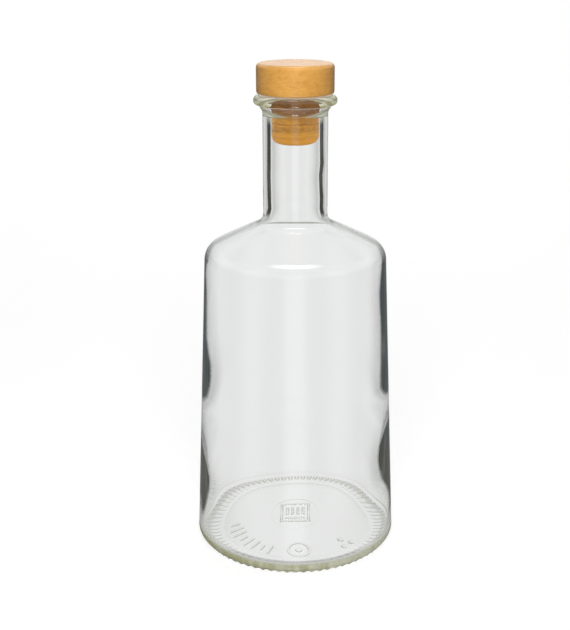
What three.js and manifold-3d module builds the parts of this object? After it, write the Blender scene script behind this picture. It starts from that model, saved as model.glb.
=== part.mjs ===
// A clear glass bottle closed by a cork with a wooden grip.
// Millimetres, +Z up. The origin is the middle of the circle that the bottle stands on.
import * as THREE from 'three';
import { mergeVertices, toCreasedNormals } from 'three/addons/utils/BufferGeometryUtils.js';
import Module from 'manifold-3d';

const wasm = await Module();
wasm.setup();

// Body of the bottle: a slender cone, widest just above the heel, under a straight sloped shoulder.
const baseRadius = 42;
const heelRounding = 2.9;
const bodyHeight = 125.65;
const shoulderRadius = 36.4;
const shoulderRounding = 7;
const shoulderRise = 11.55;
const shoulderWall = 2.3;
const heelWall = 2.8;
const innerShoulderRounding = 5;

// Neck: its wall stands on the bore.
const boreRadius = 9.5;
const neckWall = 3.3;
const neckLength = 42.8;
const neckRootRounding = 4.2;
const neckTopRounding = 3;
const boreRootRounding = 6;

// Lip: a rounded ring round the mouth, over a short taper that ends in a step.
const taperHeight = 2.5;
const taperFlare = 1.7;
const lipOverhang = 1.8;
const lipHeight = 3.9;
const lipLowerRounding = 1.6;
const lipUpperRounding = 2.2;

// Mouth: a funnel that leads the cork into the bore. Its depths are counted down from the brim.
const funnelDepth = 8;
const funnelFlare = 2.9;
const funnelRounding = 1.5;
const collarDepth = 4;
const collarFlare = 0.4;
const brimInnerRounding = 1;

// Base: pushed up in the middle, and standing on a ring of short radial bars.
const baseThickness = 2.8;
const innerHeelRounding = 3;
const bearingWidth = 8.2;
const puntRise = 3;
const floorRise = 2.9;
const knurlCount = 76;
const knurlHeight = 0.7;
const knurlWidth = 1.3;
const knurlSetback = 2.9;
const knurlEndSlope = 0.6;
const knurlWrap = THREE.MathUtils.degToRad(50);
const knurlRoot = 0.4;

// Stopper: a turned grip that lies on the lip, and a cork plug glued into its socket.
const headInset = 1.2;
const headHeight = 11.9;
const headTopRounding = 1.7;
const headBottomRounding = 1.4;
const corkClearance = 0.3;
const corkDepth = 18.8;
const corkEndRounding = 3.5;
const socketDepth = 5;
const socketClearance = 0.3;

// How finely round forms are stepped.
const glassTurnSteps = knurlCount;
const stopperTurnSteps = 48;
const domeSteps = 4;
const roundingTolerance = 0.12;
const creaseAngle = THREE.MathUtils.degToRad(40);

// Sizes that follow from the ones above.
const neckRadius = boreRadius + neckWall;
const taperRadius = neckRadius + taperFlare;
const lipRadius = taperRadius + lipOverhang;
const neckRootHeight = bodyHeight + shoulderRise;
const neckTopHeight = neckRootHeight + neckLength;
const lipBottomHeight = neckTopHeight + taperHeight;
const brimHeight = lipBottomHeight + lipHeight;
const heelRadius = baseRadius - heelRounding;
const puntRadius = heelRadius - bearingWidth;
const headRadius = lipRadius - headInset;
const corkRadius = boreRadius - corkClearance;
const socketRadius = corkRadius + socketClearance;

const glass = new THREE.MeshStandardMaterial({
  name: 'clear_glass',
  color: 0xe2e8dc,
  roughness: 0.03,
  metalness: 0,
  transparent: true,
  opacity: 0.35,
});
const wood = new THREE.MeshStandardMaterial({
  name: 'varnished_wood',
  color: 0xdda04b,
  roughness: 0.45,
  metalness: 0,
});
const cork = new THREE.MeshStandardMaterial({
  name: 'natural_cork',
  color: 0xb9802f,
  roughness: 0.85,
  metalness: 0,
});

// A corner of an outline: distance from the axis, height, and the radius that rounds it off.
function corner(radius, height, rounding = 0) {
  return { point: new THREE.Vector2(radius, height), rounding };
}

// The straight line inside the edge between two corners, one wall thickness away from each of them.
function insideLine(from, to, wallAtFrom, wallAtTo) {
  const edge = to.point.clone().sub(from.point).normalize();
  const inward = new THREE.Vector2(-edge.y, edge.x);
  const start = from.point.clone().addScaledVector(inward, wallAtFrom);
  const end = to.point.clone().addScaledVector(inward, wallAtTo);
  return { start, along: end.sub(start).normalize() };
}

// The rounded corner where two lines meet.
function cornerWhereLinesMeet(first, second, rounding) {
  const apart = second.start.clone().sub(first.start);
  const travel = apart.cross(second.along) / first.along.cross(second.along);
  const meeting = first.start.clone().addScaledVector(first.along, travel);
  return corner(meeting.x, meeting.y, rounding);
}

// The arc that rounds off one corner. Its reach is limited by the two edges that it joins.
function roundedCorner(before, at, after) {
  const toBefore = before.point.clone().sub(at.point);
  const toAfter = after.point.clone().sub(at.point);
  const roomBefore = toBefore.length() / (before.rounding > 0 ? 2 : 1);
  const roomAfter = toAfter.length() / (after.rounding > 0 ? 2 : 1);
  toBefore.normalize();
  toAfter.normalize();
  const halfAngle = Math.acos(toBefore.dot(toAfter)) / 2;
  const reach = Math.min(at.rounding / Math.tan(halfAngle), roomBefore, roomAfter);
  const radius = reach * Math.tan(halfAngle);
  const bisector = toBefore.clone().add(toAfter).normalize();
  const centre = at.point.clone().addScaledVector(bisector, radius / Math.sin(halfAngle));
  const start = at.point.clone().addScaledVector(toBefore, reach);
  const turn = (Math.PI - 2 * halfAngle) * Math.sign(toAfter.cross(toBefore));
  const largestStep = 2 * Math.acos(1 - roundingTolerance / Math.max(radius, 2 * roundingTolerance));
  const steps = Math.max(2, Math.ceil(Math.abs(turn) / largestStep));
  return Array.from({ length: steps + 1 }, (unused, step) =>
    start.clone().rotateAround(centre, (turn * step) / steps));
}

// The points of an outline, with each corner that has a rounding turned into its arc.
function roundedOutline(corners) {
  return corners.flatMap((at, index) =>
    at.rounding > 0 ? roundedCorner(corners[index - 1], at, corners[index + 1]) : [at.point]);
}

// Corners of a shallow dome, from the axis out to its edge.
function dome(edgeRadius, edgeHeight, rise) {
  return Array.from({ length: domeSteps + 1 }, (unused, step) => {
    const share = step / domeSteps;
    return corner(edgeRadius * share, edgeHeight + rise * (1 - share * share));
  });
}

// A geometry as a solid: vertices that coincide are merged, and triangles without area are left out.
function solidOf(geometry) {
  geometry.deleteAttribute('normal');
  geometry.deleteAttribute('uv');
  const merged = mergeVertices(geometry);
  const index = merged.index.array;
  const triangles = [];
  for (let i = 0; i < index.length; i += 3) {
    const [a, b, c] = [index[i], index[i + 1], index[i + 2]];
    if (a !== b && b !== c && c !== a) {
      triangles.push(a, b, c);
    }
  }
  return new wasm.Manifold(new wasm.Mesh({
    numProp: 3,
    vertProperties: merged.attributes.position.array,
    triVerts: new Uint32Array(triangles),
  }));
}

// A named mesh that shows a solid, smooth over its curves and sharp at its edges.
function meshOf(solid, name, material) {
  const { vertProperties, triVerts } = solid.getMesh();
  const geometry = new THREE.BufferGeometry();
  geometry.setAttribute('position', new THREE.BufferAttribute(vertProperties, 3));
  geometry.setIndex(new THREE.BufferAttribute(triVerts, 1));
  const mesh = new THREE.Mesh(toCreasedNormals(geometry, creaseAngle), material);
  mesh.name = name;
  return mesh;
}

// A solid turned about +Z from corners that start and end on the axis, counted up its outside.
function turned(corners, turnSteps) {
  const geometry = new THREE.LatheGeometry(roundedOutline(corners), turnSteps);
  geometry.rotateX(Math.PI / 2);
  return solidOf(geometry);
}

// The outline of the glass: up the outside from the pushed-up base to the lip, then down the inside.
function glassCorners() {
  const heel = corner(baseRadius, knurlHeight, heelRounding);
  const shoulder = corner(shoulderRadius, bodyHeight, shoulderRounding);
  const neckRoot = corner(neckRadius, neckRootHeight, neckRootRounding);
  const wallInside = insideLine(heel, shoulder, heelWall, shoulderWall);
  const shoulderInside = insideLine(shoulder, neckRoot, shoulderWall, shoulderWall);
  const boreWall = { start: new THREE.Vector2(boreRadius, 0), along: new THREE.Vector2(0, 1) };
  const floorHeight = knurlHeight + baseThickness;
  const floor = { start: new THREE.Vector2(0, floorHeight), along: new THREE.Vector2(1, 0) };
  return [
    ...dome(puntRadius, knurlHeight, puntRise),
    heel,
    shoulder,
    neckRoot,
    corner(neckRadius, neckTopHeight, neckTopRounding),
    corner(taperRadius, lipBottomHeight),
    corner(lipRadius, lipBottomHeight, lipLowerRounding),
    corner(lipRadius, brimHeight, lipUpperRounding),
    corner(boreRadius + funnelFlare + collarFlare, brimHeight, brimInnerRounding),
    corner(boreRadius + funnelFlare, brimHeight - collarDepth),
    corner(boreRadius, brimHeight - funnelDepth, funnelRounding),
    cornerWhereLinesMeet(shoulderInside, boreWall, boreRootRounding),
    cornerWhereLinesMeet(wallInside, shoulderInside, innerShoulderRounding),
    cornerWhereLinesMeet(wallInside, floor, innerHeelRounding),
    ...dome(puntRadius, floorHeight, floorRise).reverse(),
  ];
}

// One bar of the knurl, on the +X side. It runs out along the bearing ring and wraps up round the heel.
function knurlBar() {
  const innerEnd = puntRadius + knurlSetback;
  const rootRadius = heelRounding - knurlRoot;
  const heelCentreHeight = knurlHeight + heelRounding;
  const wrapEnd = knurlWrap - Math.PI / 2;
  const side = new THREE.Shape();
  side.moveTo(innerEnd, knurlHeight + knurlRoot);
  side.lineTo(innerEnd + knurlEndSlope, 0);
  side.absarc(heelRadius, heelCentreHeight, heelCentreHeight, -Math.PI / 2, wrapEnd, false);
  side.lineTo(
    heelRadius + rootRadius * Math.cos(wrapEnd),
    heelCentreHeight + rootRadius * Math.sin(wrapEnd),
  );
  const bar = new THREE.ExtrudeGeometry(side, { depth: knurlWidth, bevelEnabled: false, curveSegments: 1 });
  bar.rotateX(Math.PI / 2);
  bar.translate(0, knurlWidth / 2, 0);
  return bar;
}

// The bottle: the turned glass joined with its ring of knurl bars.
function makeBottle() {
  let solid = turned(glassCorners(), glassTurnSteps);
  for (let bar = 0; bar < knurlCount; bar += 1) {
    const placed = knurlBar().rotateZ((2 * Math.PI * bar) / knurlCount);
    solid = solid.add(solidOf(placed));
  }
  return meshOf(solid, 'bottle', glass);
}

// The grip: a disc with eased edges and a blind socket beneath. Its underside is at height 0.
function makeStopperHead() {
  const solid = turned([
    corner(0, socketDepth),
    corner(socketRadius, socketDepth),
    corner(socketRadius, 0),
    corner(headRadius, 0, headBottomRounding),
    corner(headRadius, headHeight, headTopRounding),
    corner(0, headHeight),
  ], stopperTurnSteps);
  return meshOf(solid, 'stopper_head', wood);
}

// The cork: a plain plug with a rounded lower end. It fills the depth of the socket.
function makeStopperShank() {
  const solid = turned([
    corner(0, -corkDepth),
    corner(corkRadius, -corkDepth, corkEndRounding),
    corner(corkRadius, socketDepth),
    corner(0, socketDepth),
  ], stopperTurnSteps);
  return meshOf(solid, 'stopper_shank', cork);
}

// The stopper stands on the brim, its cork in the neck.
const stopper = new THREE.Group();
stopper.name = 'stopper';
stopper.position.z = brimHeight;
stopper.add(makeStopperHead(), makeStopperShank());

const corkTopBottle = new THREE.Group();
corkTopBottle.name = 'cork_top_bottle';
corkTopBottle.add(makeBottle(), stopper);

export default corkTopBottle;
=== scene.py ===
"""Looks of the cork-top bottle: blown glass, a varnished wooden grip and its cork, in soft studio light."""

import math

import bpy
import numpy as np
from mathutils import Euler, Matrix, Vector


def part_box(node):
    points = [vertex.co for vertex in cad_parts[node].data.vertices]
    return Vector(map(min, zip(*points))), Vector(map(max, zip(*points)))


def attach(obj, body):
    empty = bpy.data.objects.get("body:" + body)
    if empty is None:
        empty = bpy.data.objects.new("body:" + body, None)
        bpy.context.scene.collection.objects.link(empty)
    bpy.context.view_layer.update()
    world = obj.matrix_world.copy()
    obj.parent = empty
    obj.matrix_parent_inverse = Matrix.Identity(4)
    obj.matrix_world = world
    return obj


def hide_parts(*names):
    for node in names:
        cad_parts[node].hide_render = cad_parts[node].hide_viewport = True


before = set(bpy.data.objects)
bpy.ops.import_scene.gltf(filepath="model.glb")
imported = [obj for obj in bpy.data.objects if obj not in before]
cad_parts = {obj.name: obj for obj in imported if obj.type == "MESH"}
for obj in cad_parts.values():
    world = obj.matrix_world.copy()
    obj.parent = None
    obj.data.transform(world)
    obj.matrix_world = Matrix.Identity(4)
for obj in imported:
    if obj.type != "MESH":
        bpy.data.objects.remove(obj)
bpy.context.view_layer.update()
scene = bpy.context.scene

MM = 0.001

# Sizes of the bottle in millimetres, as the solids have them.
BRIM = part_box("bottle")[1].z / MM
BASE_RADIUS = 42
HEEL_ROUNDING = 2.9
BODY_HEIGHT = 125.65
SHOULDER_RADIUS = 36.4
SHOULDER_ROUNDING = 7
SHOULDER_RISE = 11.55
SHOULDER_WALL = 2.3
HEEL_WALL = 2.8
INNER_SHOULDER_ROUNDING = 5
INNER_HEEL_ROUNDING = 3
BORE_RADIUS = 9.5
BORE_ROOT_ROUNDING = 10
NECK_WALL = 3.3
NECK_LENGTH = 42.8
NECK_ROOT_ROUNDING = 4.2
NECK_TOP_ROUNDING = 3
TAPER_HEIGHT = 2.5
TAPER_FLARE = 1.7
TAPER_TOP_ROUNDING = 0.3
LIP_OVERHANG = 1.8
LIP_LOWER_ROUNDING = 1.4
LIP_UPPER_ROUNDING = 2.2
FUNNEL_DEPTH = 8
FUNNEL_FLARE = 2.9
FUNNEL_ROUNDING = 1.5
COLLAR_DEPTH = 4
COLLAR_FLARE = 0.4
COLLAR_ROUNDING = 1
BASE_THICKNESS = 2.8
BEARING_WIDTH = 8.2
PUNT_RISE = 3
FLOOR_RISE = 2.9

# The ring of short bars that the bottle stands on, in millimetres.
KNURL_COUNT = 76
KNURL_HEIGHT = 0.7
KNURL_SETBACK = 1.3
KNURL_WRAP_HEIGHT = 1.5
KNURL_END_SLOPE = 0.9
KNURL_RISE_START = 4.6
KNURL_RISE_END = 6.6
KNURL_INNER_DROP = 0.7

FLOOR_EDGE = KNURL_HEIGHT + BASE_THICKNESS
NECK_RADIUS = BORE_RADIUS + NECK_WALL
TAPER_RADIUS = NECK_RADIUS + TAPER_FLARE
LIP_RADIUS = TAPER_RADIUS + LIP_OVERHANG
HEEL_RADIUS = BASE_RADIUS - HEEL_ROUNDING
PUNT_RADIUS = HEEL_RADIUS - BEARING_WIDTH
NECK_ROOT = BODY_HEIGHT + SHOULDER_RISE
NECK_TOP = NECK_ROOT + NECK_LENGTH
LIP_BOTTOM = NECK_TOP + TAPER_HEIGHT

# Sizes of the stopper in millimetres. The head sits on the brim and the cork hangs below it.
HEAD_RADIUS = 15.1
HEAD_HEIGHT = 11.9
HEAD_BOTTOM_ROUNDING = 1.4
HEAD_TOP_ROUNDING = 1.7
CORK_DEPTH = 18.8
CORK_END_ROUNDING = 4
CORK_RADIUS = 9.4
SOCKET_DEPTH = 5
SOCKET_RADIUS = 9.5

# How finely the pieces are cut: corners round the axis.
CORNERS_FOR_EACH_BAR = 5
STOPPER_CORNERS = 192


# Camera, placed by the shape of the photographed outline.
def make_camera():
    """The camera looks down at the bottle from the front, with the bottle a little right of the middle."""
    image_height = 630
    focal_length_in_pixels = 1108.8
    pixels_right_of_axis = 10.3
    tilt_down = 18.4
    data = bpy.data.cameras.new("camera")
    data.sensor_width = 36
    data.lens = focal_length_in_pixels * data.sensor_width / image_height
    data.shift_x = -pixels_right_of_axis / image_height
    data.clip_start = 0.01
    camera = bpy.data.objects.new("camera", data)
    camera.location = (0, -0.4318, 0.2404)
    camera.rotation_euler = Euler((math.radians(90 - tilt_down), 0, 0))
    scene.collection.objects.link(camera)
    scene.camera = camera


# Node trees written as expressions.
class Value:
    """A socket of a node tree, with arithmetic that adds Math nodes."""

    def __init__(self, tree, socket):
        self.tree = tree
        self.socket = socket

    def math(self, operation, *others):
        return self.tree.node("ShaderNodeMath", {"operation": operation}, [self, *others])

    def __add__(self, other):
        return self.math("ADD", other)

    def __sub__(self, other):
        return self.math("SUBTRACT", other)

    def __rsub__(self, other):
        return self.tree.node("ShaderNodeMath", {"operation": "SUBTRACT"}, [other, self])

    def __mul__(self, other):
        return self.math("MULTIPLY", other)

    def __truediv__(self, other):
        return self.math("DIVIDE", other)

    def __abs__(self):
        return self.math("ABSOLUTE")

    def cosine(self):
        return self.math("COSINE")

    def root(self):
        return self.math("SQRT")

    def most(self, other):
        return self.math("MAXIMUM", other)

    def step(self, low, high):
        """0 below low, 1 above high, and a smooth rise between them."""
        inputs = {"Value": self, "From Min": low, "From Max": high}
        return self.tree.node("ShaderNodeMapRange", {"interpolation_type": "SMOOTHSTEP"}, inputs)


class Tree:
    """A node tree, to which nodes are added by one method."""

    def __init__(self, nodes_of):
        self.nodes_of = nodes_of
        nodes_of.nodes.clear()

    def node(self, kind, settings=None, inputs=None, output=0):
        node = self.nodes_of.nodes.new(kind)
        for name, setting in (settings or {}).items():
            if name == "stops":
                set_stops(node.color_ramp, setting)
            else:
                setattr(node, name, setting)
        pairs = enumerate(inputs) if isinstance(inputs, (list, tuple)) else (inputs or {}).items()
        for key, given in pairs:
            if isinstance(given, Value):
                self.nodes_of.links.new(given.socket, node.inputs[key])
            else:
                node.inputs[key].default_value = given
        return Value(self, node.outputs[output]) if node.outputs else None

    def parts_of(self, vector):
        """The x, y and z of a vector, as three values."""
        return [self.node("ShaderNodeSeparateXYZ", None, [vector], output=axis) for axis in "XYZ"]

    def place(self):
        return self.node("ShaderNodeTexCoord", output="Object")

    def direction(self):
        """The direction of a ray into the world, as three values."""
        return self.parts_of(self.node("ShaderNodeTexCoord", output="Generated"))

    def light_path(self, fact):
        return self.node("ShaderNodeLightPath", output=fact)

    def angle(self, across, along):
        return self.node("ShaderNodeMath", {"operation": "ARCTAN2"}, [across, along])

    def noise(self, vector, scale, detail=3, roughness=0.5):
        inputs = {"Vector": vector, "Scale": scale, "Detail": detail, "Roughness": roughness}
        return self.node("ShaderNodeTexNoise", None, inputs)

    def stretched_noise(self, vector, stretch, detail, roughness=0.5):
        """Noise with its own scale, in grains per metre, along each axis."""
        stretched = self.node("ShaderNodeMapping", None, {"Vector": vector, "Scale": stretch})
        return self.noise(stretched, 1, detail, roughness)

    def mix(self, factor, first, second):
        return self.node("ShaderNodeMix", {"data_type": "RGBA"}, {0: factor, 6: first, 7: second}, output=2)

    def ramp(self, factor, stops):
        return self.node("ShaderNodeValToRGB", {"stops": stops}, {"Fac": factor})

    def bump(self, height, strength, distance):
        inputs = {"Height": height, "Strength": strength, "Distance": distance}
        return self.node("ShaderNodeBump", None, inputs)

    def diffuse(self, color):
        return self.node("ShaderNodeBsdfDiffuse", None, {"Color": color})

    def glow(self, color, strength):
        return self.node("ShaderNodeEmission", None, {"Color": color, "Strength": strength})

    def blend(self, factor, first, second):
        """The first shader where the factor is 0 and the second where it is 1."""
        return self.node("ShaderNodeMixShader", None, [factor, first, second])


def set_stops(ramp, stops):
    """Gives a colour ramp its stops, as pairs of a place and a colour."""
    while len(ramp.elements) > 1:
        ramp.elements.remove(ramp.elements[0])
    ramp.elements[0].position = stops[0][0]
    ramp.elements[0].color = stops[0][1]
    for place, color in stops[1:]:
        ramp.elements.new(place).color = color


def new_material(name):
    material = bpy.data.materials.new(name)
    material.use_nodes = True
    return material, Tree(material.node_tree)


def linear(red, green, blue):
    """A colour as it is seen, 0 to 255, turned into the numbers that a shader takes."""
    channels = [channel / 255 for channel in (red, green, blue)]
    return *(c / 12.92 if c < 0.04045 else ((c + 0.055) / 1.055) ** 2.4 for c in channels), 1


# Studio: a pale floor in an even white tent, whose walls are a little darker between the light panels.
WHITE = (1, 1, 1, 1)
COOL_WHITE = (0.975, 0.985, 1, 1)
PANELS = 6
PANEL_LEVEL = 0.9
GAP_LEVEL = 0.6
FLOORWARD_SHARE = 0.7
CORK_LIGHT = 1.2
PLAIN_LEVEL = 0.1
WALL_GLOSS = 0.18
ROOF_GLOSS = 0.7
BAND_GLOSS = 0.8
STRIP_GLOSS = 0.8
FOOT_GLOSS = 6
LAMP_GLOSS = 5.5


def tent_through_glass(tree):
    """How bright the tent is in a direction, as it is seen through the glass."""
    x, y, z = tree.direction()
    panels = (tree.angle(x, y) * PANELS).cosine().step(-1, 0.9)
    level = panels * (PANEL_LEVEL - GAP_LEVEL) + GAP_LEVEL
    upward = z.step(-0.9, -0.55)
    return level * (upward * (1 - FLOORWARD_SHARE) + FLOORWARD_SHARE)


def tent_in_gloss(tree):
    """How bright the tent is in a direction, as smooth surfaces mirror it. A lighter band runs round it, its
    roof has a lamp in the middle, and an upright strip with a bright foot stands in front and behind."""
    x, y, z = tree.direction()
    level_part = (x * x + y * y).root().most(0.001)
    from_middle = abs(x / level_part)
    strip = (1 - from_middle.step(0.1, 0.32)) * (1 - z.step(0.2, 0.5))
    foot = (1 - from_middle.step(0.12, 0.3)) * z.step(-0.88, -0.78) * (1 - z.step(-0.62, -0.5))
    band = z.step(0.12, 0.3) * (1 - z.step(0.5, 0.7))
    roof = z.step(0.35, 0.8)
    lamp = z.step(0.93, 0.998)
    above = roof * ROOF_GLOSS + band * BAND_GLOSS + lamp * LAMP_GLOSS
    return above + strip * STRIP_GLOSS + foot * FOOT_GLOSS + WALL_GLOSS


def make_world():
    """White to the eye, a tent to the glass, and dim to all else, which the lamps light."""
    world = bpy.data.worlds.new("studio")
    world.use_nodes = True
    scene.world = world
    tree = Tree(world.node_tree)
    through_glass = tree.light_path("Is Transmission Ray")
    in_gloss = tree.light_path("Is Glossy Ray") * (1 - through_glass)
    seen = tree.light_path("Is Camera Ray")
    others = 1 - through_glass - in_gloss - seen
    from_cork = tree.light_path("Diffuse Depth").step(0.4, 0.6)
    strength = through_glass * tent_through_glass(tree) * (from_cork * CORK_LIGHT + 1)
    strength = strength + in_gloss * tent_in_gloss(tree) + seen + others * PLAIN_LEVEL
    color = tree.mix(seen, COOL_WHITE, WHITE)
    light = tree.node("ShaderNodeBackground", None, {"Color": color, "Strength": strength})
    tree.node("ShaderNodeOutputWorld", None, {"Surface": light})


def make_floor_material():
    """White to the eye with the bottle's soft shadow on it, and open to what the glass shows and reflects."""
    material, tree = new_material("pale_floor")
    seen = tree.light_path("Is Camera Ray")
    through_glass = tree.light_path("Is Transmission Ray")
    in_gloss = tree.light_path("Is Glossy Ray")
    x, y, _ = tree.parts_of(tree.place())
    far = (x * x + y * y).root().step(0.25, 0.8)
    takes_shadow = tree.diffuse((0.3, 0.3, 0.3, 1))
    shaded = tree.node("ShaderNodeAddShader", None, [takes_shadow, tree.glow(WHITE, 0.78)])
    backdrop = tree.blend(far, shaded, tree.glow(WHITE, 1.0))
    pale = tree.diffuse((0.4, 0.4, 0.4, 1))
    solid = tree.blend(seen, pale, backdrop)
    open_floor = tree.node("ShaderNodeBsdfTransparent")
    surface = tree.blend(through_glass.most(in_gloss), solid, open_floor)
    tree.node("ShaderNodeOutputMaterial", None, {"Surface": surface})
    return material


def make_floor():
    half = 8
    corners = [(-half, -half, 0), (half, -half, 0), (half, half, 0), (-half, half, 0)]
    mesh = bpy.data.meshes.new("floor")
    mesh.from_pydata(corners, [], [(0, 1, 2, 3)])
    floor = bpy.data.objects.new("floor", mesh)
    floor.data.materials.append(make_floor_material())
    scene.collection.objects.link(floor)


def add_lamp(name, place, side, power):
    """A soft square panel that points at the bottle and isn't mirrored by it."""
    data = bpy.data.lights.new(name, "AREA")
    data.shape = "RECTANGLE"
    data.size = side
    data.size_y = side
    data.energy = power
    lamp = bpy.data.objects.new(name, data)
    lamp.location = place
    middle_of_bottle = Vector((0, 0, 0.12))
    lamp.rotation_euler = (middle_of_bottle - Vector(place)).to_track_quat("-Z", "Y").to_euler()
    lamp.visible_glossy = False
    lamp.visible_transmission = False
    scene.collection.objects.link(lamp)


def make_lamps():
    add_lamp("front_panel", (0, -0.75, 0.6), 0.5, 8)
    add_lamp("back_panel", (0, 0.8, 0.7), 0.6, 4)


# Outlines, given by their corners.
def rounded_outline(corners, step=math.radians(9)):
    """Points of an outline whose corners are (radius, height, rounding). Rounded corners become arcs."""
    points = []
    for index, (radius, height, rounding) in enumerate(corners):
        at = np.array((radius, height), float)
        if not rounding:
            points.append(at)
            continue
        before = np.array(corners[index - 1][:2]) - at
        after = np.array(corners[index + 1][:2]) - at
        before /= np.linalg.norm(before)
        after /= np.linalg.norm(after)
        half = math.acos(np.clip(before @ after, -1, 1)) / 2
        centre = at + (before + after) / np.linalg.norm(before + after) * rounding / math.sin(half)
        start = at + before * rounding / math.tan(half) - centre
        side = math.copysign(1, after[0] * before[1] - after[1] * before[0])
        turn = (math.pi - 2 * half) * side
        steps = max(4, math.ceil(abs(turn) / step))
        for angle in np.linspace(0, turn, steps + 1):
            cos = math.cos(angle)
            sin = math.sin(angle)
            points.append(centre + (start[0] * cos - start[1] * sin, start[0] * sin + start[1] * cos))
    return np.array(points)


def filled_out(points, longest):
    """The same outline with more points, so that no stretch is longer than longest gives for its middle."""
    made = [points[0]]
    for start, end in zip(points[:-1], points[1:]):
        limit = longest((start + end) / 2)
        pieces = max(1, math.ceil(np.linalg.norm(end - start) / limit))
        made += [start + (end - start) * share for share in np.linspace(0, 1, pieces + 1)[1:]]
    return np.array(made)


def lines_meet(first, second):
    """Where two lines meet, each given by a point and a direction."""
    (start, along), (other_start, other_along) = first, second
    solved = np.linalg.solve(np.array([along, -np.array(other_along)]).T, np.array(other_start) - start)
    return np.array(start) + np.array(along) * solved[0]


def inside_line(start, end, wall_at_start, wall_at_end):
    """The line inside an edge of the outline, one wall thickness away from each of its ends."""
    start = np.array(start, float)
    end = np.array(end, float)
    edge = (end - start) / np.linalg.norm(end - start)
    inward = np.array((-edge[1], edge[0]))
    first = start + inward * wall_at_start
    last = end + inward * wall_at_end
    return first, (last - first) / np.linalg.norm(last - first)


def dome(edge_radius, edge_height, rise, steps):
    """Corners of a shallow dome, from the axis out to its edge."""
    shares = np.linspace(0, 1, steps + 1)
    return [(edge_radius * share, edge_height + rise * (1 - share * share), 0) for share in shares]


def punt_height(radius):
    """Height of the pushed-up underside at a distance from the axis."""
    return KNURL_HEIGHT + PUNT_RISE * (1 - (radius / PUNT_RADIUS) ** 2)


def wall_radius(height):
    """Radius of the outside of the body, which narrows evenly from the heel up to the shoulder."""
    up_wall = (height - KNURL_HEIGHT) / (BODY_HEIGHT - KNURL_HEIGHT)
    return BASE_RADIUS + (SHOULDER_RADIUS - BASE_RADIUS) * up_wall


def longest_glass_edge(point):
    """How far apart points of the glass outline may be: close on underside and heel, wide on the wall."""
    radius, height = point
    if radius < PUNT_RADIUS and height < punt_height(radius) + 0.5:
        return 0.5
    if radius > PUNT_RADIUS and height < KNURL_HEIGHT + HEEL_ROUNDING:
        return 1
    if radius > wall_radius(height) - 1:
        return 20
    return 5


def glass_outline():
    """Up the outside from the pushed-up base to the lip, then down the inside to the floor."""
    heel = (BASE_RADIUS, KNURL_HEIGHT)
    shoulder = (SHOULDER_RADIUS, BODY_HEIGHT)
    neck_root = (NECK_RADIUS, NECK_ROOT)
    wall_inside = inside_line(heel, shoulder, HEEL_WALL, SHOULDER_WALL)
    shoulder_inside = inside_line(shoulder, neck_root, SHOULDER_WALL, SHOULDER_WALL)
    bore_line = ((BORE_RADIUS, 0), (0, 1))
    floor_line = ((0, FLOOR_EDGE), (1, 0))
    corners = [
        *dome(PUNT_RADIUS, KNURL_HEIGHT, PUNT_RISE, 24),
        (*heel, HEEL_ROUNDING),
        (*shoulder, SHOULDER_ROUNDING),
        (*neck_root, NECK_ROOT_ROUNDING),
        (NECK_RADIUS, NECK_TOP, NECK_TOP_ROUNDING),
        (TAPER_RADIUS, LIP_BOTTOM, TAPER_TOP_ROUNDING),
        (LIP_RADIUS, LIP_BOTTOM, LIP_LOWER_ROUNDING),
        (LIP_RADIUS, BRIM, LIP_UPPER_ROUNDING),
        (BORE_RADIUS + FUNNEL_FLARE + COLLAR_FLARE, BRIM, COLLAR_ROUNDING),
        (BORE_RADIUS + FUNNEL_FLARE, BRIM - COLLAR_DEPTH, COLLAR_ROUNDING),
        (BORE_RADIUS, BRIM - FUNNEL_DEPTH, FUNNEL_ROUNDING),
        (*lines_meet(shoulder_inside, bore_line), BORE_ROOT_ROUNDING),
        (*lines_meet(wall_inside, shoulder_inside), INNER_SHOULDER_ROUNDING),
        (*lines_meet(wall_inside, floor_line), INNER_HEEL_ROUNDING),
        *dome(PUNT_RADIUS, FLOOR_EDGE, FLOOR_RISE, 8)[::-1],
    ]
    return filled_out(rounded_outline(corners), longest_glass_edge)


# Meshes.
def turned_mesh(name, outline, around):
    """A closed mesh turned about Z from an outline that starts and ends on the axis."""
    angles = np.arange(around) * 2 * math.pi / around
    rings = outline[1:-1]
    xyz = np.empty((len(rings), around, 3))
    xyz[..., 0] = rings[:, 0, None] * np.cos(angles)
    xyz[..., 1] = rings[:, 0, None] * np.sin(angles)
    xyz[..., 2] = rings[:, 1, None]
    vertices = np.vstack([[(0, 0, outline[0, 1])], xyz.reshape(-1, 3), [(0, 0, outline[-1, 1])]])
    ring = np.arange(around)
    after = (ring + 1) % around
    faces = [(0, 1 + b, 1 + a) for a, b in zip(ring, after)]
    for row in range(len(rings) - 1):
        low = 1 + row * around
        high = low + around
        faces += [(low + a, low + b, high + b, high + a) for a, b in zip(ring, after)]
    top = len(vertices) - 1
    last = 1 + (len(rings) - 1) * around
    faces += [(last + a, last + b, top) for a, b in zip(ring, after)]
    return new_mesh(name, vertices, faces)


def new_mesh(name, vertices_in_mm, faces):
    mesh = bpy.data.meshes.new(name)
    mesh.from_pydata((np.asarray(vertices_in_mm) * MM).tolist(), [], faces)
    mesh.polygons.foreach_set("use_smooth", [True] * len(mesh.polygons))
    mesh.update()
    return mesh


def move_points(mesh, move):
    """Moves the points of a mesh: move takes and gives an array of places in millimetres."""
    flat = np.empty(len(mesh.vertices) * 3, np.float32)
    mesh.vertices.foreach_get("co", flat)
    places = move(flat.reshape(-1, 3).astype(float) / MM)
    mesh.vertices.foreach_set("co", (places * MM).astype(np.float32).ravel())
    mesh.update()


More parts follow.
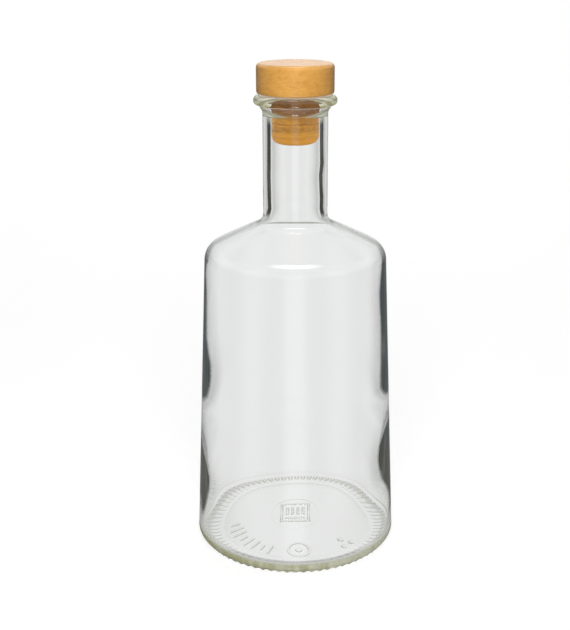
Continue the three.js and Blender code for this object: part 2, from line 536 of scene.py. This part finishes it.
def add_piece(name, mesh, material, body, node):
    """A finished piece: it rides on its body and stands for its node."""
    mesh.materials.clear()
    mesh.materials.append(material)
    piece = bpy.data.objects.new(name, mesh)
    scene.collection.objects.link(piece)
    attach(piece, body)
    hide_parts(node)


# The uneven wall. Its thickness is given in millimetres by height, on the left and right side and elsewhere.
WALL_LEFT = ((9, 2.9), (19, 3.0), (27, 2.7), (34, 1.9), (40, 1.2), (47, 1.0), (52, 1.0),
             (59, 1.6), (65, 2.3), (78, 2.4), (85, 1.8), (103, 1.8), (116, 1.7), (124, 1.7))
WALL_RIGHT = ((9, 2.3), (16, 2.4), (22, 2.7), (30, 3.2), (42, 3.0), (49, 1.7), (54, 1.0), (58, 1.0),
              (63, 1.9), (67, 2.5), (78, 2.3), (92, 2.2), (108, 2.3), (116, 2.2), (124, 1.8))
WALL_ELSEWHERE = ((9, 3.2), (24, 3.0), (40, 2.0), (60, 1.7), (85, 1.9), (124, 2.0))
SIDE_HALF_WIDTH = 0.9


def smooth_step(value, low, high):
    share = np.clip((value - low) / (high - low), 0, 1)
    return share * share * (3 - 2 * share)


def near(angle, middle):
    """1 in the middle direction, falling smoothly to 0 at half the width of a side away."""
    away = np.abs(np.angle(np.exp(1j * (angle - middle))))
    return 1 - smooth_step(away, 0, SIDE_HALF_WIDTH)


def uneven_wall(around, z):
    """Thickness of the body's wall in each direction and at each height, with slight waves."""
    left, right, elsewhere = (np.interp(z, *zip(*wall)) for wall in (WALL_LEFT, WALL_RIGHT, WALL_ELSEWHERE))
    wall = elsewhere + near(around, math.pi) * (left - elsewhere) + near(around, 0) * (right - elsewhere)
    wall += 0.1 * np.cos(3 * around + 0.08 * z + 2.1) + 0.08 * np.cos(5 * around - 0.06 * z)
    return wall


def uneven_inside(places):
    """Moves the inside in and out, because blown glass is thick in some places and thin in others."""
    x, y, z = places.T
    radius = np.hypot(x, y)
    around = np.arctan2(y, x)
    even_wall = HEEL_WALL + (SHOULDER_WALL - HEEL_WALL) * (z - KNURL_HEIGHT) / (BODY_HEIGHT - KNURL_HEIGHT)
    in_body = (radius < wall_radius(z) - 1.2) & (z > FLOOR_EDGE + 0.2) & (radius > 20)
    along_body = smooth_step(z, FLOOR_EDGE, 10) * (1 - smooth_step(z, 114, 124))
    thicker = (uneven_wall(around, z) - even_wall) * along_body
    in_bore = (radius < BORE_RADIUS + 1.5) & (z > NECK_ROOT)
    along_bore = smooth_step(z, 139, 146) * (1 - smooth_step(z, 158, 165))
    waves = 0.16 * np.cos(0.3 * z + 1.2 + around) + 0.1 * np.cos(0.47 * z + 2 * around)
    factor = np.where(in_body, 1 - thicker / np.maximum(radius, 1), 1)
    factor += np.where(in_bore, waves * along_bore / BORE_RADIUS, 0)
    return np.column_stack([x * factor, y * factor, z])


# Plain raised marks on the underside, in millimetres and degrees.
MARK_HEIGHT = 0.35
SQUARE_HALF = 6
SQUARE_BARS = (-3.4, -1.1, 1.2, 3.5)
FAINT_RING_RADIUS = 10.6
FAINT_SHARE = 0.3
SMALL_RING_PLACE = (1.5, -24.6)
SMALL_RING_RADIUS = 4.3
RIM_BAR_RADIUS = 26.2
RIM_BAR_ANGLES = range(191, 255, 8)
RIM_DOTS = ((28.4, 314), (28.4, 323), (24.6, 318.5))


def line_of(distance, half_width):
    """A soft-edged raised line where the distance from its middle is less than half its width."""
    half_edge = 0.25
    return 1 - smooth_step(np.abs(distance), half_width - half_edge, half_width + half_edge)


def base_marks(x, y):
    """The raised marks, each 1 on its top and 0 beside it: a square frame with bars in it and a faint ring
    round it, a small ring with a dot, and bars and dots along the rim."""
    yield line_of(np.maximum(np.abs(x), np.abs(y)) - SQUARE_HALF, half_width=0.3)
    for middle in SQUARE_BARS:
        yield line_of(x - middle, half_width=0.4) * line_of(y - 0.8, half_width=2.6)
    yield line_of(y + 4, half_width=0.35) * line_of(x, half_width=4)
    yield FAINT_SHARE * line_of(np.hypot(x, y) - FAINT_RING_RADIUS, half_width=0.3)
    from_small_ring = np.hypot(x - SMALL_RING_PLACE[0], y - SMALL_RING_PLACE[1])
    yield line_of(from_small_ring - SMALL_RING_RADIUS, half_width=0.35)
    yield line_of(from_small_ring, half_width=1.3)
    for index, degrees in enumerate(RIM_BAR_ANGLES):
        angle = math.radians(degrees)
        along = x * math.cos(angle) + y * math.sin(angle)
        across = y * math.cos(angle) - x * math.sin(angle)
        half_length = 2.7 if index % 3 else 1.7
        yield line_of(along - RIM_BAR_RADIUS, half_length) * line_of(across, half_width=0.5)
    for dot_radius, degrees in RIM_DOTS:
        angle = math.radians(degrees)
        from_dot = np.hypot(x - dot_radius * math.cos(angle), y - dot_radius * math.sin(angle))
        yield line_of(from_dot, half_width=1.0)


def marked_base(places):
    """Raises the marks on the underside of the base, and moves nothing else."""
    x, y, z = places.T
    radius = np.hypot(x, y)
    under = (radius < PUNT_RADIUS + 0.5) & (z < punt_height(radius) + 0.3)
    under &= z < KNURL_HEIGHT + PUNT_RISE + 0.05
    raised = np.maximum.reduce(list(base_marks(x, y)))
    return np.column_stack([x, y, z - np.where(under, raised * MARK_HEIGHT, 0)])


# The ring of bars.
def knurl_tree():
    """Geometry nodes that raise a ring of short radial bars on the surface round the base."""
    tree = bpy.data.node_groups.new("knurled_base", "GeometryNodeTree")
    interface = tree.interface
    interface.new_socket("Geometry", in_out="INPUT", socket_type="NodeSocketGeometry")
    sizes = {
        "Bars": ("NodeSocketInt", KNURL_COUNT),
        "Bar Height": ("NodeSocketFloat", KNURL_HEIGHT * MM),
        "Inner Drop": ("NodeSocketFloat", KNURL_INNER_DROP),
        "Inner End": ("NodeSocketFloat", (PUNT_RADIUS + KNURL_SETBACK) * MM),
        "Rise Start": ("NodeSocketFloat", (PUNT_RADIUS + KNURL_RISE_START) * MM),
        "Rise End": ("NodeSocketFloat", (PUNT_RADIUS + KNURL_RISE_END) * MM),
        "Wrap Height": ("NodeSocketFloat", KNURL_WRAP_HEIGHT * MM),
        "End Slope": ("NodeSocketFloat", KNURL_END_SLOPE * MM),
    }
    for name, (kind, default) in sizes.items():
        interface.new_socket(name, in_out="INPUT", socket_type=kind).default_value = default
    interface.new_socket("Glass", in_out="INPUT", socket_type="NodeSocketMaterial")
    interface.new_socket("Geometry", in_out="OUTPUT", socket_type="NodeSocketGeometry")
    nodes = Tree(tree)
    given = {name: nodes.node("NodeGroupInput", output=name) for name in ["Geometry", *sizes, "Glass"]}
    x, y, z = nodes.parts_of(nodes.node("GeometryNodeInputPosition"))
    radius = (x * x + y * y).root()
    bar = (nodes.angle(y, x) * given["Bars"]).cosine().step(-0.35, 0.85)
    starts = radius.step(given["Inner End"], given["Inner End"] + given["End Slope"])
    ends = 1 - z.step(given["Wrap Height"] - given["End Slope"], given["Wrap Height"])
    inner = 1 - radius.step(given["Rise Start"], given["Rise End"])
    lift = bar * starts * ends * given["Bar Height"] * (1 - inner * given["Inner Drop"])
    normal = nodes.node("GeometryNodeInputNormal")
    offset = nodes.node("ShaderNodeVectorMath", {"operation": "SCALE"}, {"Vector": normal, "Scale": lift})
    raised = nodes.node("GeometryNodeSetPosition", None, {"Geometry": given["Geometry"], "Offset": offset})
    real = nodes.node("GeometryNodeRealizeInstances", None, [raised])
    glassy = nodes.node("GeometryNodeSetMaterial", None, {"Geometry": real, "Material": given["Glass"]})
    nodes.node("NodeGroupOutput", None, {"Geometry": glassy})
    return tree


def knurled(mesh, material):
    """The mesh with its ring of bars, as a plain mesh."""
    carrier = bpy.data.objects.new("knurl_carrier", mesh)
    scene.collection.objects.link(carrier)
    modifier = carrier.modifiers.new("knurl", "NODES")
    modifier.node_group = knurl_tree()
    sockets = {item.name: item.identifier for item in modifier.node_group.interface.items_tree
               if item.in_out == "INPUT"}
    modifier[sockets["Glass"]] = material
    shown = carrier.evaluated_get(bpy.context.evaluated_depsgraph_get())
    made = bpy.data.meshes.new_from_object(shown)
    bpy.data.objects.remove(carrier)
    made.polygons.foreach_set("use_smooth", [True] * len(made.polygons))
    return made


# Glass. Heights and radii in its shading are in millimetres.
CLEAR = (0.99, 0.99, 0.99, 1)
HEEL_TINT = (0.82, 0.81, 0.69, 1)
LIP_TINT = (0.8, 0.76, 0.5, 1)
# Colours of the painted dark reflection on the glass where it is seen edge on.
BODY_PAINTED_REFLECTION = (0.038, 0.05, 0.054, 1)
LOW_PAINTED_REFLECTION = (0.066, 0.066, 0.052, 1)
NECK_PAINTED_REFLECTION = (0.054, 0.053, 0.051, 1)
LIP_PAINTED_REFLECTION = (0.2, 0.175, 0.07, 1)
PAINTED_REFLECTION_STREAK = (0.11, 0.12, 0.115, 1)
TRAPPED_LIGHT = (0.98, 1, 0.95, 1)
THICK_GLASS = (0.6, 0.63, 0.3, 1)
LOW_BODY_ENDS = (38, 56)
SHOULDER_STARTS = (121, 125)
SHOULDER_ENDS = (138, 141)
NECK_STARTS = (134, 140)
LIP_STARTS = (175, 178.5)


def skin_of_heel(radius, z):
    """1 on the outside of the heel and on the bars under it, and 0 elsewhere."""
    on_side = radius.step(39.6, 40.2)
    underneath = 1 - z.step(2.9, 3.3)
    return (1 - z.step(3.8, 6)) * on_side.most(underneath) * radius.step(33, 35)


def painted_dark_reflection(tree, z, in_glass):
    """1 where a dark reflection is painted on the inside of the wall, by how steeply it is seen from within the
    glass;
    it stands for the dark sides of the room that the wall would mirror. Fewer slopes get it near the base, and
    the shoulder, the lip and the heel show less of it."""
    facing = tree.node("ShaderNodeLayerWeight", None, {"Blend": 0.5}, output="Facing")
    last = z.step(8, 36) * 0.083 + 0.262
    painted_dark_share = facing.step(0.243, 0.258) * (1 - facing.step(last - 0.015, last + 0.015)) * in_glass
    shoulder = z.step(*SHOULDER_STARTS) * (1 - z.step(*SHOULDER_ENDS))
    lip = z.step(*LIP_STARTS)
    return painted_dark_share * (1 - shoulder * 0.85) * (1 - lip * 0.45) * z.step(8, 15)


def painted_reflection_color(tree, place, z):
    """Colour of the painted dark reflection: olive grey low down, bluish on the body, grey in the neck and
    brown in the lip, with pale streaks."""
    reflection_streaks = tree.stretched_noise(place, (260, 260, 50), 2)
    color = tree.mix(1 - z.step(*LOW_BODY_ENDS), BODY_PAINTED_REFLECTION, LOW_PAINTED_REFLECTION)
    color = tree.mix(z.step(*NECK_STARTS), color, NECK_PAINTED_REFLECTION)
    color = tree.mix(reflection_streaks.step(0.45, 0.75), color, PAINTED_REFLECTION_STREAK)
    return tree.mix(z.step(*LIP_STARTS), color, LIP_PAINTED_REFLECTION)


def make_glass_material():
    """Clear soda-lime glass with a painted dark reflection where it is seen edge on and a painted white
    reflection where it is seen mirrored in itself; olive and a little milky round the knurled heel, partly its
    own tint and partly painted light.
    """
    material, tree = new_material("clear_glass")
    place = tree.place()
    x, y, z = (part / MM for part in tree.parts_of(place))
    radius = (x * x + y * y).root()
    in_glass = tree.node("ShaderNodeNewGeometry", output="Backfacing")
    heel = skin_of_heel(radius, z) * (1 - in_glass)
    lip_edge = z.step(181.5, 183) * radius.step(14, 15.8)
    clear = tree.node("ShaderNodeBsdfPrincipled", None, {
        "Base Color": tree.mix(lip_edge, tree.mix(heel, CLEAR, HEEL_TINT), LIP_TINT),
        "Roughness": 0.0,
        "IOR": 1.52,
        "Transmission Weight": 1.0,
    })
    # Round the heel a matte olive skin is mixed in: partly the thick glass's own tint, partly painted light
    # standing in for the light the knurled heel passes. The x term is painted shade: the heel's left side
    # darker, its right side lighter.
    heel_patches_and_painted_side_light = tree.stretched_noise(place, (230, 230, 30), 3) + x * 0.005
    olive = tree.mix(heel_patches_and_painted_side_light.step(0.35, 0.7), linear(166, 161, 116), linear(224, 222, 204))
    surface = tree.blend(heel * (0.75 - heel_patches_and_painted_side_light * 0.3), clear, tree.diffuse(olive))
    # Painted reflection: a dark glow where the wall is seen edge on, in place of the dark room sides it would
    # mirror.
    painted_dark_side = tree.glow(painted_reflection_color(tree, place, z), 1.0)
    surface = tree.blend(painted_dark_reflection(tree, z, in_glass), surface, painted_dark_side)
    often_mirrored = tree.light_path("Glossy Depth").step(2.4, 2.6)
    surface = tree.blend(often_mirrored, surface, tree.glow(TRAPPED_LIGHT, 0.6))
    # Painted reflection: where the bottle is seen mirrored in its own shoulder, the glass glows plain white.
    passed_glass = tree.light_path("Transmission Depth").step(0.4, 0.6)
    painted_reflection_in_shoulder = tree.light_path("Is Glossy Ray") * (1 - passed_glass)
    surface = tree.blend(painted_reflection_in_shoulder, surface, tree.glow(WHITE, 1.1))
    inside = tree.node("ShaderNodeVolumeAbsorption", None, {"Color": THICK_GLASS, "Density": 12.0})
    tree.node("ShaderNodeOutputMaterial", None, {"Surface": surface, "Volume": inside})
    return material


def make_bottle():
    glass = make_glass_material()
    mesh = turned_mesh("glass_bottle", glass_outline(), KNURL_COUNT * CORNERS_FOR_EACH_BAR)
    move_points(mesh, uneven_inside)
    move_points(mesh, marked_base)
    add_piece("glass_bottle", knurled(mesh, glass), glass, "bottle", "bottle")


# Stopper.
def make_wood_material():
    """Fine-grained honey-coloured wood under a satin varnish."""
    material, tree = new_material("varnished_wood")
    place = tree.place()
    grain = tree.stretched_noise(place, (300, 300, 900), 4, 0.6)
    fleck = tree.stretched_noise(place, (900, 900, 1600), 3, 0.6)
    cloud = tree.noise(place, 60, 2)
    color = tree.ramp(grain * 0.5 + fleck * 0.3 + cloud * 0.35, [
        (0.35, linear(198, 138, 58)),
        (0.58, linear(222, 163, 78)),
        (0.8, linear(234, 180, 96)),
    ])
    wood = tree.node("ShaderNodeBsdfPrincipled", None, {
        "Base Color": color,
        "Roughness": grain * 0.15 + 0.38,
        "Coat Weight": 0.6,
        "Coat Roughness": 0.25,
        "Normal": tree.bump(grain + fleck, 0.15, 0.0002),
    })
    tree.node("ShaderNodeOutputMaterial", None, {"Surface": wood})
    return material


def make_cork_material():
    """Dry cork with level growth bands and small pits, with painted shade that makes it browner under the head,
    and lighter at its lower end.
    """
    material, tree = new_material("natural_cork")
    place = tree.place()
    bands = tree.stretched_noise(place, (25, 25, 700), 3, 0.6)
    fleck = tree.stretched_noise(place, (500, 500, 1200), 3, 0.6)
    color = tree.ramp(bands * 0.65 + fleck * 0.45, [
        (0.38, linear(146, 92, 4)),
        (0.55, linear(206, 140, 8)),
        (0.75, linear(236, 172, 26)),
    ])
    _, _, z = tree.parts_of(place)
    above_brim = z / MM - BRIM
    # Painted shade: the cork is darkened from about 6 mm below the brim up, where the head and the flared mouth
    # keep light off it.
    color = tree.mix(above_brim.step(-9.5, -6) * 0.7, color, linear(112, 62, 14))
    color = tree.mix((1 - above_brim.step(-17.5, -13)) * 0.7, color, linear(255, 172, 22))
    cork = tree.node("ShaderNodeBsdfPrincipled", None, {
        "Base Color": color,
        "Roughness": 0.8,
        "Normal": tree.bump(fleck + bands, 0.3, 0.0004),
    })
    tree.node("ShaderNodeOutputMaterial", None, {"Surface": cork})
    return material


def make_stopper():
    grip = filled_out(rounded_outline([
        (0, BRIM + SOCKET_DEPTH, 0),
        (SOCKET_RADIUS, BRIM + SOCKET_DEPTH, 0),
        (SOCKET_RADIUS, BRIM, 0),
        (HEAD_RADIUS, BRIM, HEAD_BOTTOM_ROUNDING),
        (HEAD_RADIUS, BRIM + HEAD_HEIGHT, HEAD_TOP_ROUNDING),
        (0, BRIM + HEAD_HEIGHT, 0),
    ]), lambda point: 1.2)
    mesh = turned_mesh("stopper_grip", grip, STOPPER_CORNERS)
    add_piece("stopper_grip", mesh, make_wood_material(), "stopper", "stopper_head")
    cork = filled_out(rounded_outline([
        (0, BRIM - CORK_DEPTH, 0),
        (CORK_RADIUS, BRIM - CORK_DEPTH, CORK_END_ROUNDING),
        (CORK_RADIUS, BRIM + SOCKET_DEPTH, 0),
        (0, BRIM + SOCKET_DEPTH, 0),
    ]), lambda point: 0.8)
    mesh = turned_mesh("stopper_cork", cork, STOPPER_CORNERS)
    add_piece("stopper_cork", mesh, make_cork_material(), "stopper", "stopper_shank")


scene.view_settings.view_transform = "Standard"
make_camera()
make_world()
make_floor()
make_lamps()
make_bottle()
make_stopper()
